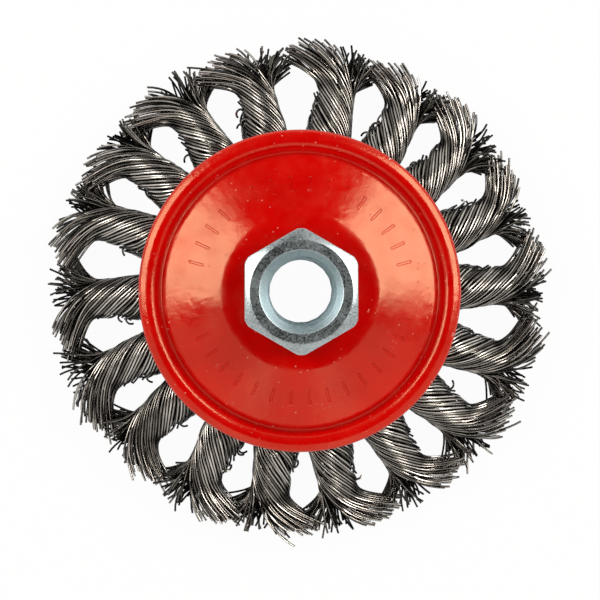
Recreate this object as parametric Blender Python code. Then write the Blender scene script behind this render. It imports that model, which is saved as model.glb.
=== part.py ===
"""Knotted wire wheel brush: pressed plates on a threaded hex hub, with twisted knots of wire.

The brush stands on its wire tips with the nut on top. Metres, +Z up along the bore.
Heights are worked out from a datum, the point where the middle of the holder plate's flange crosses
the circle of holes. Everything is lifted at the end so that the lowest wire tips stand at z = 0.
"""
import math

import bmesh
import bpy
from mathutils import Vector

# Whole brush
CLEARANCE = 0.0003
BRUSH_RADIUS = 0.0508
KNOT_COUNT = 18
FIRST_KNOT_ANGLE = math.radians(1.4)
KNOT_DIP = math.radians(22.0)

# Hub nut, M14 thread drawn as its plain bore
BORE_RADIUS = 0.0061
COUNTERSINK_RADIUS = 0.0081
COUNTERSINK_ANGLE = math.radians(60.0)
NUT_ACROSS_FLATS = 0.022
NUT_CORNER_RADIUS = 0.0123
NUT_FACE_RADIUS = 0.01015
NUT_CHAMFER_ANGLE = math.radians(30.0)
NUT_HEIGHT = 0.010
SHANK_RADIUS = 0.0087
SWAGE_OVERHANG = 0.0019
SWAGE_THICKNESS = 0.0013
SWAGE_EDGE = 0.0004

# Outer cup
CUP_SHEET = 0.0012
CUP_FLAT_RADIUS = 0.015
CUP_BEND_RADIUS = 0.003
CUP_RADIUS = 0.032
BEAD_RADIUS = 0.002
BEAD_START_ANGLE = math.radians(150.0)
GROOVE_WIDTH = 0.0008
GROOVE_DEPTH = 0.0006

# Holder plate
HOLDER_SHEET = 0.0015
HOLE_CIRCLE_RADIUS = 0.0215
HOLE_RADIUS = 0.0027
HOLE_EDGE_WEB = 0.0022
HOLDER_FLAT_RADIUS = 0.0125
HOLDER_FLANGE_WIDTH = 0.004

# Inner cup
INNER_SHEET = 0.0012
INNER_FLAT_RADIUS = 0.0118
INNER_FLANGE_RADIUS = 0.0178
INNER_RADIUS = 0.0272
INNER_LIP = 0.0008

# Knots
KNOT_GAP = 0.0008
ELBOW_RADIUS = 0.0003
LEG_DEPTH = 0.0042
WAIST_RADIUS = 0.0043
TUFT_HALF_THICKNESS = 0.0055
TUFT_GAP = 0.0006
TUFT_LENGTH = 0.0104
DOME_LENGTH = 0.0036
FLARE_POWER = 1.5
TWIST_PITCH = 0.030
CROSSING_RADIUS = 0.0371
SLANT_ANGLE = math.radians(45.0)
GROOVE_SHARE = 0.74
TIP_STAGGER = 0.0006
LOBE_ANGLES = [math.radians(angle) for angle in (-75, -45, -15, 15, 45, 75)]

# Fineness of the facets
CUP_STEPS = 48
HOLDER_STEPS = 36
INNER_STEPS = 36
NUT_STEPS = 36
HOLE_STEPS = 10
CORNER_STEPS = 2
BEAD_STEPS = 6
ROOT_STEPS = 4
NECK_STEPS = 6
DOME_SHARES = (0.62, 0.92)
METAL_SHARP_ANGLE = math.radians(27.0)
WIRE_SHARP_ANGLE = math.radians(60.0)

SLOPE = math.tan(KNOT_DIP)
OUTWARD = Vector((math.cos(KNOT_DIP), 0.0, -math.sin(KNOT_DIP)))
UPWARD = Vector((math.sin(KNOT_DIP), 0.0, math.cos(KNOT_DIP)))
LEFTWARD = Vector((0.0, 1.0, 0.0))


def remove_everything():
    for item in list(bpy.data.objects):
        bpy.data.objects.remove(item, do_unlink=True)


def make_material(name, colour, roughness, metallic):
    material = bpy.data.materials.new(name)
    material.use_nodes = True
    shader = material.node_tree.nodes["Principled BSDF"]
    shader.inputs["Base Color"].default_value = (*colour, 1.0)
    shader.inputs["Roughness"].default_value = roughness
    shader.inputs["Metallic"].default_value = metallic
    return material


def make_mesh(name, bm):
    bmesh.ops.recalc_face_normals(bm, faces=bm.faces)
    mesh = bpy.data.meshes.new(name)
    bm.to_mesh(mesh)
    bm.free()
    return mesh


def make_object(name, mesh, material=None):
    item = bpy.data.objects.new(name, mesh)
    bpy.context.collection.objects.link(item)
    if material is not None and not mesh.materials:
        mesh.materials.append(material)
    return item


def shade_round(mesh, sharp_angle):
    mesh.shade_smooth()
    mesh.set_sharp_from_angle(angle=sharp_angle)


def hide_cutter(item):
    item.hide_render = True
    item.display_type = "WIRE"


def add_boolean(item, cutter, operation):
    modifier = item.modifiers.new(cutter.name, "BOOLEAN")
    modifier.operation = operation
    modifier.solver = "EXACT"
    modifier.object = cutter


def turned_mesh(name, outline, steps):
    """Mesh of a closed (radius, height) outline turned about the Z axis."""
    bm = bmesh.new()
    ring = [bm.verts.new((radius, 0.0, height)) for radius, height in outline]
    edges = [bm.edges.new((ring[i - 1], ring[i])) for i in range(len(ring))]
    bmesh.ops.spin(
        bm, geom=ring + edges, cent=(0, 0, 0), axis=(0, 0, 1),
        angle=2 * math.pi, steps=steps, use_merge=True,
    )
    bmesh.ops.remove_doubles(bm, verts=bm.verts, dist=1e-6)
    return make_mesh(name, bm)


def rounded_corner(before, corner, after, radius, steps):
    """Arc of points that rounds one corner of an outline."""
    before, corner, after = Vector(before), Vector(corner), Vector(after)
    back = (before - corner).normalized()
    forth = (after - corner).normalized()
    half_angle = back.angle(forth) / 2
    setback = radius / math.tan(half_angle)
    centre = corner + (back + forth).normalized() * radius / math.sin(half_angle)
    start = corner + back * setback - centre
    end = corner + forth * setback - centre
    sweep = start.angle_signed(end)
    points = []
    for step in range(steps + 1):
        turn = -sweep * step / steps
        x = start.x * math.cos(turn) - start.y * math.sin(turn)
        y = start.x * math.sin(turn) + start.y * math.cos(turn)
        points.append((centre.x + x, centre.y + y))
    return points


def sheet_outline(face, thickness):
    """Closed outline of a sheet whose upper face is given from the middle outwards."""
    points = [Vector(point) for point in face]
    normals = []
    for start, end in zip(points, points[1:]):
        along = (end - start).normalized()
        normals.append(Vector((along.y, -along.x)))
    underside = []
    for i, point in enumerate(points):
        before = normals[max(i - 1, 0)]
        after = normals[min(i, len(normals) - 1)]
        mitre = (before + after).normalized()
        underside.append(point + mitre * thickness / mitre.dot(after))
    return [tuple(point) for point in points + underside[::-1]]


def flange_height(radius, rise):
    """Height at a radius of the cone that lies a given rise above the holder flange's middle."""
    return rise / math.cos(KNOT_DIP) - (radius - HOLE_CIRCLE_RADIUS) * SLOPE


def knot_distance(radius):
    """Distance beyond the plate hole at which a knot's middle line reaches a radius."""
    return (radius - HOLE_CIRCLE_RADIUS) / math.cos(KNOT_DIP)


def pitch_at(distance, rise):
    """Room from one knot to the next, at a distance along them and a rise above their middle line."""
    radius = HOLE_CIRCLE_RADIUS + distance * math.cos(KNOT_DIP) + rise * math.sin(KNOT_DIP)
    return 2 * radius * math.sin(math.pi / KNOT_COUNT)


# Places that several pieces share
BUNDLE_RADIUS = HOLE_RADIUS - CLEARANCE
HOLDER_EDGE = HOLE_RADIUS + HOLE_EDGE_WEB
LEG_SEAT = HOLDER_SHEET / 2 + CLEARANCE
LEG_TOP = LEG_SEAT + ELBOW_RADIUS + LEG_DEPTH
CROTCH = HOLDER_EDGE + CLEARANCE
ROOT_FULL = knot_distance(CUP_RADIUS - BEAD_RADIUS / 2)
DOME_REACH = math.hypot(DOME_LENGTH * math.cos(KNOT_DIP), TUFT_HALF_THICKNESS * math.sin(KNOT_DIP))
DOME_START = knot_distance(BRUSH_RADIUS - DOME_REACH)
TIP_DISTANCE = DOME_START + DOME_LENGTH
FLARE_START = TIP_DISTANCE - TUFT_LENGTH
LEG_HALF_WIDTH = (pitch_at(CROTCH, -LEG_SEAT) - KNOT_GAP) / 2
ROOT_RADIUS = (pitch_at(ROOT_FULL, -LEG_TOP) - KNOT_GAP) / 2
TUFT_HALF_WIDTH = (pitch_at(DOME_START, 0.0) - TUFT_GAP) / 2

CUP_TOP_RISE = LEG_TOP + CLEARANCE + CUP_SHEET
CUP_FLAT_HEIGHT = flange_height(CUP_FLAT_RADIUS, CUP_TOP_RISE)
HOLDER_FLAT_HEIGHT = CUP_FLAT_HEIGHT - CUP_SHEET - CLEARANCE
INNER_FLAT_HEIGHT = HOLDER_FLAT_HEIGHT - HOLDER_SHEET - CLEARANCE
NUT_BASE_HEIGHT = CUP_FLAT_HEIGHT + CLEARANCE
NUT_TOP_HEIGHT = NUT_BASE_HEIGHT + NUT_HEIGHT
PLATE_BORE_RADIUS = SHANK_RADIUS + CLEARANCE


def build_nut(material):
    """Turned blank with a shank and a swaged lip, cut to a hexagon."""
    swage_top = INNER_FLAT_HEIGHT - INNER_SHEET - CLEARANCE
    bottom = swage_top - SWAGE_THICKNESS
    swage_radius = SHANK_RADIUS + SWAGE_OVERHANG
    chamfer_drop = (NUT_CORNER_RADIUS - NUT_FACE_RADIUS) * math.tan(NUT_CHAMFER_ANGLE)
    countersink_drop = (COUNTERSINK_RADIUS - BORE_RADIUS) / math.tan(COUNTERSINK_ANGLE)
    outline = [
        (BORE_RADIUS, bottom + SWAGE_THICKNESS),
        (BORE_RADIUS + SWAGE_THICKNESS, bottom),
        (swage_radius - SWAGE_EDGE, bottom),
        (swage_radius, bottom + SWAGE_EDGE),
        (swage_radius, swage_top),
        (SHANK_RADIUS, swage_top),
        (SHANK_RADIUS, NUT_BASE_HEIGHT),
        (NUT_FACE_RADIUS, NUT_BASE_HEIGHT),
        (NUT_CORNER_RADIUS, NUT_BASE_HEIGHT + chamfer_drop),
        (NUT_CORNER_RADIUS, NUT_TOP_HEIGHT - chamfer_drop),
        (NUT_FACE_RADIUS, NUT_TOP_HEIGHT),
        (COUNTERSINK_RADIUS, NUT_TOP_HEIGHT),
        (BORE_RADIUS, NUT_TOP_HEIGHT - countersink_drop),
    ]
    nut = make_object("arbor_nut", turned_mesh("arbor_nut", outline, NUT_STEPS), material)
    shade_round(nut.data, METAL_SHARP_ANGLE)

    overrun = NUT_HEIGHT
    foot = NUT_BASE_HEIGHT - CLEARANCE / 2
    cutter_inradius = NUT_ACROSS_FLATS / 2
    clear_inradius = max(swage_radius, cutter_inradius) + overrun
    levels = [
        (clear_inradius, bottom - overrun),
        (clear_inradius, foot),
        (cutter_inradius, foot),
        (cutter_inradius, NUT_TOP_HEIGHT + overrun),
    ]
    cutter = make_object("hexagon", hexagon_mesh("hexagon", levels))
    hide_cutter(cutter)
    add_boolean(nut, cutter, "INTERSECT")
    return [nut, cutter]


def hexagon_mesh(name, levels):
    """Closed six-sided post through (inradius, height) levels, with two of its corners on the Y axis."""
    bm = bmesh.new()
    rings = []
    for inradius, height in levels:
        corner = inradius / math.cos(math.pi / 6)
        turns = [side * math.pi / 3 for side in range(6)]
        rings.append([
            bm.verts.new((corner * math.sin(turn), corner * math.cos(turn), height)) for turn in turns
        ])
    for ring_a, ring_b in zip(rings, rings[1:]):
        bridge(bm, ring_a, ring_b)
    bm.faces.new(rings[0])
    bm.faces.new(rings[-1])
    return make_mesh(name, bm)


def build_outer_cup(material):
    """Dished pressing: flat middle, sloping face, groove and rounded rim over the knots' roots."""
    bead_centre_radius = CUP_RADIUS - BEAD_RADIUS
    bead_start_radius = bead_centre_radius + BEAD_RADIUS * math.cos(BEAD_START_ANGLE)
    groove_outer = bead_start_radius
    groove_inner = groove_outer - GROOVE_WIDTH
    valley_height = flange_height(groove_outer, CUP_TOP_RISE) - GROOVE_DEPTH
    bead_centre_height = valley_height - BEAD_RADIUS * math.sin(BEAD_START_ANGLE)
    lip_height = flange_height(CUP_RADIUS - CUP_SHEET, ROOT_RADIUS + CLEARANCE)

    flat_corner = (CUP_FLAT_RADIUS, CUP_FLAT_HEIGHT)
    slope_end = (groove_inner, flange_height(groove_inner, CUP_TOP_RISE))
    face = [(PLATE_BORE_RADIUS, CUP_FLAT_HEIGHT)]
    face += rounded_corner(face[0], flat_corner, slope_end, CUP_BEND_RADIUS, CORNER_STEPS)
    face.append(slope_end)
    for step in range(BEAD_STEPS + 1):
        angle = BEAD_START_ANGLE * (1 - step / BEAD_STEPS)
        face.append((
            bead_centre_radius + BEAD_RADIUS * math.cos(angle),
            bead_centre_height + BEAD_RADIUS * math.sin(angle),
        ))
    face.append((CUP_RADIUS, lip_height))
    mesh = turned_mesh("outer_cup", sheet_outline(face, CUP_SHEET), CUP_STEPS)
    shade_round(mesh, METAL_SHARP_ANGLE)
    return make_object("outer_cup", mesh, material)


def build_holder_plate(material):
    """Dished disc with a ring of holes, square to its sloping flange, for the knots to hook in."""
    edge_radius = HOLE_CIRCLE_RADIUS + HOLDER_EDGE * math.cos(KNOT_DIP)
    flange_radius = HOLE_CIRCLE_RADIUS - HOLDER_FLANGE_WIDTH * math.cos(KNOT_DIP)
    half_sheet = HOLDER_SHEET / 2
    face = [
        (PLATE_BORE_RADIUS, HOLDER_FLAT_HEIGHT),
        (HOLDER_FLAT_RADIUS, HOLDER_FLAT_HEIGHT),
        (flange_radius, flange_height(flange_radius, half_sheet)),
        (edge_radius, flange_height(edge_radius, half_sheet)),
    ]
    mesh = turned_mesh("knot_holder_plate", sheet_outline(face, HOLDER_SHEET), HOLDER_STEPS)
    plate = make_object("knot_holder_plate", mesh, material)
    shade_round(mesh, METAL_SHARP_ANGLE)

    bm = bmesh.new()
    hole_centre = Vector((HOLE_CIRCLE_RADIUS, 0.0, 0.0))
    vertex_radius = HOLE_RADIUS / math.cos(math.pi / HOLE_STEPS)
    for knot in range(KNOT_COUNT):
        lower, upper = [], []
        for step in range(HOLE_STEPS):
            turn = 2 * math.pi * step / HOLE_STEPS
            rim = OUTWARD * vertex_radius * math.cos(turn) + LEFTWARD * vertex_radius * math.sin(turn)
            for ring, side in ((lower, -1), (upper, 1)):
                point = turn_to_knot(hole_centre + rim + UPWARD * side * HOLDER_SHEET, knot)
                ring.append(bm.verts.new(point))
        bm.faces.new(lower[::-1])
        bm.faces.new(upper)
        for i in range(HOLE_STEPS):
            bm.faces.new((lower[i - 1], lower[i], upper[i], upper[i - 1]))
    cutter = make_object("plate_holes", make_mesh("plate_holes", bm))
    hide_cutter(cutter)
    add_boolean(plate, cutter, "DIFFERENCE")
    return [plate, cutter]


def build_inner_cup(material):
    """Dished pressing on the underside, which clamps the roots of the knots from below."""
    rise = -LEG_TOP - CLEARANCE
    flange_start = (INNER_FLANGE_RADIUS, flange_height(INNER_FLANGE_RADIUS, rise))
    flange_end = (INNER_RADIUS - INNER_LIP, flange_height(INNER_RADIUS - INNER_LIP, rise))
    flat_corner = (INNER_FLAT_RADIUS, INNER_FLAT_HEIGHT)
    face = [(PLATE_BORE_RADIUS, INNER_FLAT_HEIGHT)]
    face += rounded_corner(face[0], flat_corner, flange_start, INNER_SHEET, CORNER_STEPS)
    face += rounded_corner(flat_corner, flange_start, flange_end, INNER_SHEET, CORNER_STEPS)
    face.append(flange_end)
    face.append((INNER_RADIUS, flange_end[1] - INNER_LIP))
    mesh = turned_mesh("inner_cup", sheet_outline(face, INNER_SHEET), INNER_STEPS)
    shade_round(mesh, METAL_SHARP_ANGLE)
    return make_object("inner_cup", mesh, material)


def turn_to_knot(point, knot):
    """A point of the knot that lies along +X, turned to the place of another knot."""
    angle = FIRST_KNOT_ANGLE + 2 * math.pi * knot / KNOT_COUNT
    x = point.x * math.cos(angle) - point.y * math.sin(angle)
    y = point.x * math.sin(angle) + point.y * math.cos(angle)
    return Vector((x, y, point.z))


def smooth_share(value, start, end):
    """0 before start, 1 after end, and a smooth rise between them."""
    share = min(max((value - start) / (end - start), 0.0), 1.0)
    return share * share * (3 - 2 * share)


def flare_share(distance):
    """0 in the tight part of a knot, rising to 1 where its tuft is widest."""
    share = (distance - FLARE_START) / (DOME_START - FLARE_START)
    return min(max(share, 0.0), 1.0)


def twist_at(distance):
    """Turn of the strand that starts under the plate, 0 where it passes straight over the knot.

    Past the rim the strands turn evenly, and the turn dies away in step with the flare.
    """
    crossing = knot_distance(CROSSING_RADIUS)
    rim = knot_distance(CUP_RADIUS)
    if distance < rim:
        rim_twist = 2 * math.pi * (rim - crossing) / TWIST_PITCH
        return -math.pi + (math.pi + rim_twist) * (distance - CROTCH) / (rim - CROTCH)
    turning = min(distance, DOME_START)
    lost = (DOME_START - FLARE_START) * flare_share(distance) ** (FLARE_POWER + 1) / (FLARE_POWER + 1)
    return 2 * math.pi * (turning - lost - crossing) / TWIST_PITCH


def knot_point(distance, across, rise):
    """Point of the knot along +X, from its distance beyond the hole and its place across the knot."""
    hole_centre = Vector((HOLE_CIRCLE_RADIUS, 0.0, 0.0))
    return hole_centre + OUTWARD * distance + LEFTWARD * across + UPWARD * rise


def leg_rings():
    """Rings of the bundle from the upper leg, down through the hole, to the lower leg.

    Each ring has the six points of the outer lobe and two corners on the inner side.
    A section is given by its turn about the elbow (0 above the plate, 180 below), the place of its middle,
    its half width, its outer depth and the depth of its inner side.
    """
    elbow = BUNDLE_RADIUS + ELBOW_RADIUS
    middle_depth = (BUNDLE_RADIUS * 2 + LEG_DEPTH) / 2
    round_bulge = BUNDLE_RADIUS * math.sqrt(1 - GROOVE_SHARE ** 2)
    slant_bulge = round_bulge / 2
    slant_middle = ELBOW_RADIUS + slant_bulge
    upper = [
        (0.0, CROTCH, LEG_SEAT, LEG_HALF_WIDTH, LEG_DEPTH - GROOVE_DEPTH, 0.0),
        (0.0, elbow, LEG_SEAT + ELBOW_RADIUS, (LEG_HALF_WIDTH + BUNDLE_RADIUS) / 2, LEG_DEPTH, 0.0),
        (
            SLANT_ANGLE,
            elbow - slant_middle * math.sin(SLANT_ANGLE),
            LEG_SEAT + slant_middle * math.cos(SLANT_ANGLE),
            BUNDLE_RADIUS + CLEARANCE,
            middle_depth - slant_bulge,
            slant_bulge,
        ),
        (math.pi / 2, 0.0, LEG_SEAT, BUNDLE_RADIUS, BUNDLE_RADIUS, round_bulge),
    ]
    lower = [(math.pi - turn, along, -rise, *rest) for turn, along, rise, *rest in upper[::-1]]
    rings = []
    for turn, along, rise, half_width, depth, bulge in upper + lower:
        outer_along = -math.sin(turn)
        outer_rise = math.cos(turn)
        ring = []
        for angle in LOBE_ANGLES:
            out = depth * math.cos(angle)
            across = half_width * math.sin(angle)
            ring.append(knot_point(along + out * outer_along, across, rise + out * outer_rise))
        for side in (1, -1):
            across = side * half_width * GROOVE_SHARE
            ring.append(knot_point(along - bulge * outer_along, across, rise - bulge * outer_rise))
        rings.append(ring)
    return rings


def knot_size_at(distance):
    """Half width along the split between the strands, and depth of one strand square to it."""
    root = smooth_share(distance, CROTCH, ROOT_FULL)
    waist = smooth_share(distance, ROOT_FULL, FLARE_START)
    flare = flare_share(distance) ** FLARE_POWER
    barrel = ROOT_RADIUS + (WAIST_RADIUS - ROOT_RADIUS) * waist
    leg_edge = LEG_SEAT + LEG_DEPTH - GROOVE_DEPTH
    half_width = LEG_HALF_WIDTH + (barrel - LEG_HALF_WIDTH) * root
    half_width += (TUFT_HALF_THICKNESS - WAIST_RADIUS) * flare
    depth = leg_edge + (barrel - leg_edge) * root
    depth += (TUFT_HALF_WIDTH - WAIST_RADIUS) * flare
    dome_share = max((distance - DOME_START) / DOME_LENGTH, 0.0)
    dome = math.sqrt(1 - dome_share ** 2)
    return half_width * dome, depth * dome


def knot_ring(distance, stagger=0.0):
    """Ring of the two twisted strands: six lobe points of each, and a groove on each side."""
    twist = twist_at(distance)
    half_width, depth = knot_size_at(distance)
    out = Vector((math.cos(twist), math.sin(twist)))
    side = Vector((math.sin(twist), -math.cos(twist)))
    ring = []
    for strand in (-1, 1):
        for i, angle in enumerate(LOBE_ANGLES):
            place = (out * depth * math.cos(angle) + side * half_width * math.sin(angle)) * strand
            along = distance + (stagger if i % 2 else -stagger)
            ring.append(knot_point(along, place.y, place.x))
        groove = side * half_width * GROOVE_SHARE * strand
        ring.append(knot_point(distance, groove.y, groove.x))
    return ring


def knot_stations():
    """Distances of the rings under the cup, from its rim to the widest of the tuft, and over the tips."""
    rim = knot_distance(CUP_RADIUS)
    root = [CROTCH + (rim - CROTCH) * step / ROOT_STEPS for step in range(1, ROOT_STEPS)]
    neck = [rim + (DOME_START - rim) * step / NECK_STEPS for step in range(NECK_STEPS + 1)]
    dome = [DOME_START + DOME_LENGTH * share for share in DOME_SHARES]
    return root + neck + dome


def bridge(bm, ring_a, ring_b):
    """Faces between two rings of as many points; a point that a ring repeats makes a triangle."""
    for i in range(len(ring_a)):
        corners = dict.fromkeys((ring_a[i - 1], ring_a[i], ring_b[i], ring_b[i - 1]))
        bm.faces.new(list(corners))


def join_legs(bm, upper, lower, ring):
    """Close the two legs against each other and lead them into the first ring of the knot."""
    lobe = len(LOBE_ANGLES)
    upper_left, upper_right = upper[lobe:]
    lower_left, lower_right = lower[lobe:]
    bm.faces.new((upper_left, upper_right, lower_right, lower_left))
    legs_outline = upper[:lobe][::-1] + [upper_right, lower_right] + lower[:lobe] + [lower_left, upper_left]
    right_groove, left_groove = ring[lobe], ring[-1]
    knot_outline = ring[:lobe] + [right_groove] * 2 + ring[lobe + 1:-1] + [left_groove] * 2
    bridge(bm, legs_outline, knot_outline)


def knot_mesh(material):
    """One bundle of wire, folded through its plate hole, twisted and flared: a single closed body."""
    bm = bmesh.new()
    legs = [[bm.verts.new(point) for point in ring] for ring in leg_rings()]
    for ring_a, ring_b in zip(legs, legs[1:]):
        bridge(bm, ring_a, ring_b)

    rings = []
    for distance in knot_stations():
        stagger = TIP_STAGGER if distance > DOME_START else 0.0
        rings.append([bm.verts.new(point) for point in knot_ring(distance, stagger)])
    for ring_a, ring_b in zip(rings, rings[1:]):
        bridge(bm, ring_a, ring_b)
    join_legs(bm, legs[0], legs[-1], rings[0])

    tip_centre = bm.verts.new(knot_point(TIP_DISTANCE, 0.0, 0.0))
    bridge(bm, rings[-1], [tip_centre] * len(rings[-1]))

    bmesh.ops.triangulate(bm, faces=bm.faces)
    mesh = make_mesh("wire_knot", bm)
    mesh.materials.append(material)
    shade_round(mesh, WIRE_SHARP_ANGLE)
    return mesh


def build_knots(material):
    mesh = knot_mesh(material)
    knots = []
    for knot in range(KNOT_COUNT):
        item = make_object(f"knot_{knot + 1:02d}", mesh)
        item.rotation_euler.z = FIRST_KNOT_ANGLE + 2 * math.pi * knot / KNOT_COUNT
        knots.append(item)
    return knots


def build_brush():
    remove_everything()
    zinc = make_material("zinc_plated_steel", (0.50, 0.54, 0.55), 0.35, 1.0)
    paint = make_material("red_paint", (0.52, 0.012, 0.010), 0.22, 0.0)
    plate_steel = make_material("pressed_steel", (0.36, 0.36, 0.35), 0.45, 1.0)
    wire = make_material("steel_wire", (0.30, 0.28, 0.26), 0.42, 1.0)

    pieces = build_nut(zinc)
    pieces.append(build_outer_cup(paint))
    pieces += build_holder_plate(plate_steel)
    pieces.append(build_inner_cup(zinc))
    knots = build_knots(wire)

    stand = bpy.data.objects.new("brush", None)
    bpy.context.collection.objects.link(stand)
    for piece in pieces + knots:
        piece.parent = stand
    stand.location.z = -min(vertex.co.z for vertex in knots[0].data.vertices)


build_brush()
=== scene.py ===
"""Looks of the knotted wire wheel brush: the wires of its knots, the painted cup, the nut and the plates."""
import math
from collections import namedtuple

import bpy
import numpy as np
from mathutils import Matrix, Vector


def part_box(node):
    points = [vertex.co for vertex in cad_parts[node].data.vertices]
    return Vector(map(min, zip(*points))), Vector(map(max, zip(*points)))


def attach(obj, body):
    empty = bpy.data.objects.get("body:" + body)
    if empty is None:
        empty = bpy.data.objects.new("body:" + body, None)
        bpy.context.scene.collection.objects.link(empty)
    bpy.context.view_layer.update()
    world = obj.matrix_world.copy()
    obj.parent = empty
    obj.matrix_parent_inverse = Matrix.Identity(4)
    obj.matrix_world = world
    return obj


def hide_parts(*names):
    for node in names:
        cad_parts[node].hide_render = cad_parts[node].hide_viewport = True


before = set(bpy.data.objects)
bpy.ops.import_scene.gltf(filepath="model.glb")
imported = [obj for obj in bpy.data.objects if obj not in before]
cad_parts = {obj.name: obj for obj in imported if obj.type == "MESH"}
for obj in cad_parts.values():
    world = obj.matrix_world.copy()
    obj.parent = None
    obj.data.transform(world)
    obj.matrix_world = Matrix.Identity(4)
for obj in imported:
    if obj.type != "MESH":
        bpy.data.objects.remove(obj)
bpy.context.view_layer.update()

# Sizes that the pieces share with the solids, in metres
KNOT_COUNT = 18
FIRST_KNOT_ANGLE = math.radians(1.4)
KNOT_DIP = math.radians(22.0)
CLEARANCE = 0.0003
SHEET = 0.0012
HOLDER_SHEET = 0.0015
HOLE_CIRCLE_RADIUS = 0.0215
BUNDLE_RADIUS = 0.0024
LEG_HALF_WIDTH = 0.0040
LEG_SEAT = HOLDER_SHEET / 2 + CLEARANCE
ELBOW_RADIUS = 0.0003
LEG_DEPTH = 0.0042
LEG_TOP = LEG_SEAT + ELBOW_RADIUS + LEG_DEPTH
CROTCH = 0.0052
CUP_RADIUS = 0.032
CUP_FLAT_RADIUS = 0.015
BEAD_RADIUS = 0.002
GROOVE_WIDTH = 0.0008
GROOVE_DEPTH = 0.0006
PLATE_BORE_RADIUS = 0.0090
INNER_FLAT_RADIUS = 0.0118
INNER_FLANGE_RADIUS = 0.0178
INNER_RADIUS = 0.0272
INNER_LIP = 0.0008
NUT_FLATS_RADIUS = 0.011
NUT_CORNER_RADIUS = 0.0123
NUT_FACE_RADIUS = 0.01015
NUT_CHAMFER_SLOPE = math.tan(math.radians(30.0))
COUNTERSINK_RADIUS = 0.0081
BORE_RADIUS = 0.0061
SHANK_RADIUS = 0.0087
SWAGE_RADIUS = 0.0106
SWAGE_THICKNESS = 0.0013

# Finer shapes that only these pieces have, in metres
ROUND_STEPS = 144
BEAD_START = math.radians(150.0)
FLAT_BEND = 0.006
GROOVE_BEND = 0.0002
RIM_BEND = 0.0009
LIP_RADIUS = 0.0262
LIP_SLOPE = math.radians(3.0)
LIP_STEPS = 5
TICK_COUNT = 36
TICK_RADIUS = 0.0212
TICK_LENGTH = 0.0028
TICK_WIDTH = 0.0003
TICK_DEPTH = 0.00016
TICK_FLANK = 0.00014
NUT_EDGE = 0.00012
SWAGE_ROUNDING = 0.0004
SWAGE_ROUNDING_MIDDLE = 0.00012
COUNTERSINK_SLOPE = math.tan(math.radians(60.0))
THREAD_PITCH = 0.002
THREAD_DEPTH = 0.00095
THREAD_START = 0.0009
THREAD_RUN_IN = 0.0006

# Heights read from the frame
CUP_LOW, CUP_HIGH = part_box("outer_cup")
NUT_LOW, NUT_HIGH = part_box("arbor_nut")
CUP_TOP_RISE = LEG_TOP + CLEARANCE + SHEET
SLOPE = math.tan(KNOT_DIP)
CUP_FLAT_HEIGHT = CUP_HIGH.z
DATUM_HEIGHT = (CUP_FLAT_HEIGHT - CUP_TOP_RISE / math.cos(KNOT_DIP)
                + (CUP_FLAT_RADIUS - HOLE_CIRCLE_RADIUS) * SLOPE)
INNER_FLAT_HEIGHT = CUP_FLAT_HEIGHT - SHEET - HOLDER_SHEET - 2 * CLEARANCE

OUTWARD = np.array((math.cos(KNOT_DIP), 0.0, -math.sin(KNOT_DIP)))
UPWARD = np.array((math.sin(KNOT_DIP), 0.0, math.cos(KNOT_DIP)))
LEFTWARD = np.array((0.0, 1.0, 0.0))


def flange_height(radius, rise):
    """Height at a radius of the cone that lies a given rise above the middle of the knots."""
    return DATUM_HEIGHT + rise / math.cos(KNOT_DIP) - (radius - HOLE_CIRCLE_RADIUS) * SLOPE


def knot_distance(radius):
    """Distance along a knot, from the circle of holes to a radius."""
    return (radius - HOLE_CIRCLE_RADIUS) / math.cos(KNOT_DIP)


# Material helpers

def new_material(name):
    material = bpy.data.materials.new(name)
    material.use_nodes = True
    tree = material.node_tree
    return material, tree, tree.nodes["Principled BSDF"]


def node(tree, kind, inputs=None, **settings):
    made = tree.nodes.new(kind)
    for key, value in settings.items():
        setattr(made, key, value)
    for key, value in (inputs or {}).items():
        if isinstance(value, bpy.types.NodeSocket):
            tree.links.new(value, made.inputs[key])
        else:
            made.inputs[key].default_value = value
    return made


def position(tree):
    return node(tree, "ShaderNodeTexCoord").outputs["Object"]


def attribute(tree, name):
    return node(tree, "ShaderNodeAttribute", attribute_name=name).outputs["Fac"]


def noise(tree, vector, scale, detail=2.0, roughness=0.5):
    inputs = {"Vector": vector, "Scale": scale, "Detail": detail, "Roughness": roughness}
    return node(tree, "ShaderNodeTexNoise", inputs).outputs["Fac"]


def ramp(tree, value, stops):
    made = node(tree, "ShaderNodeValToRGB", {"Fac": value})
    elements = made.color_ramp.elements
    while len(elements) < len(stops):
        elements.new(0.5)
    for element, (place, colour) in zip(elements, stops):
        element.position = place
        element.color = (*colour, 1.0)
    return made.outputs["Color"]


def grey_ramp(tree, value, low, high, low_value=0.0, high_value=1.0):
    """Turns a value from low to high into one from low_value to high_value, and holds it beyond them."""
    made = node(tree, "ShaderNodeMapRange", {
        "Value": value, "From Min": low, "From Max": high, "To Min": low_value, "To Max": high_value,
    })
    return made.outputs["Result"]


def mix_colour(tree, share, colour_a, colour_b):
    made = node(tree, "ShaderNodeMix", data_type="RGBA")
    for socket, value in (("Factor_Float", share), ("A_Color", colour_a), ("B_Color", colour_b)):
        target = next(s for s in made.inputs if s.identifier == socket)
        if isinstance(value, bpy.types.NodeSocket):
            tree.links.new(value, target)
        elif socket == "Factor_Float":
            target.default_value = value
        else:
            target.default_value = (*value, 1.0)
    return next(s for s in made.outputs if s.identifier == "Result_Color")


def maths(tree, operation, a, b=0.0):
    made = node(tree, "ShaderNodeMath", operation=operation)
    for i, value in enumerate((a, b)):
        if isinstance(value, bpy.types.NodeSocket):
            tree.links.new(value, made.inputs[i])
        else:
            made.inputs[i].default_value = value
    return made.outputs[0]


def add(tree, a, b):
    return maths(tree, "ADD", a, b)


def multiply(tree, a, b):
    return maths(tree, "MULTIPLY", a, b)


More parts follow.
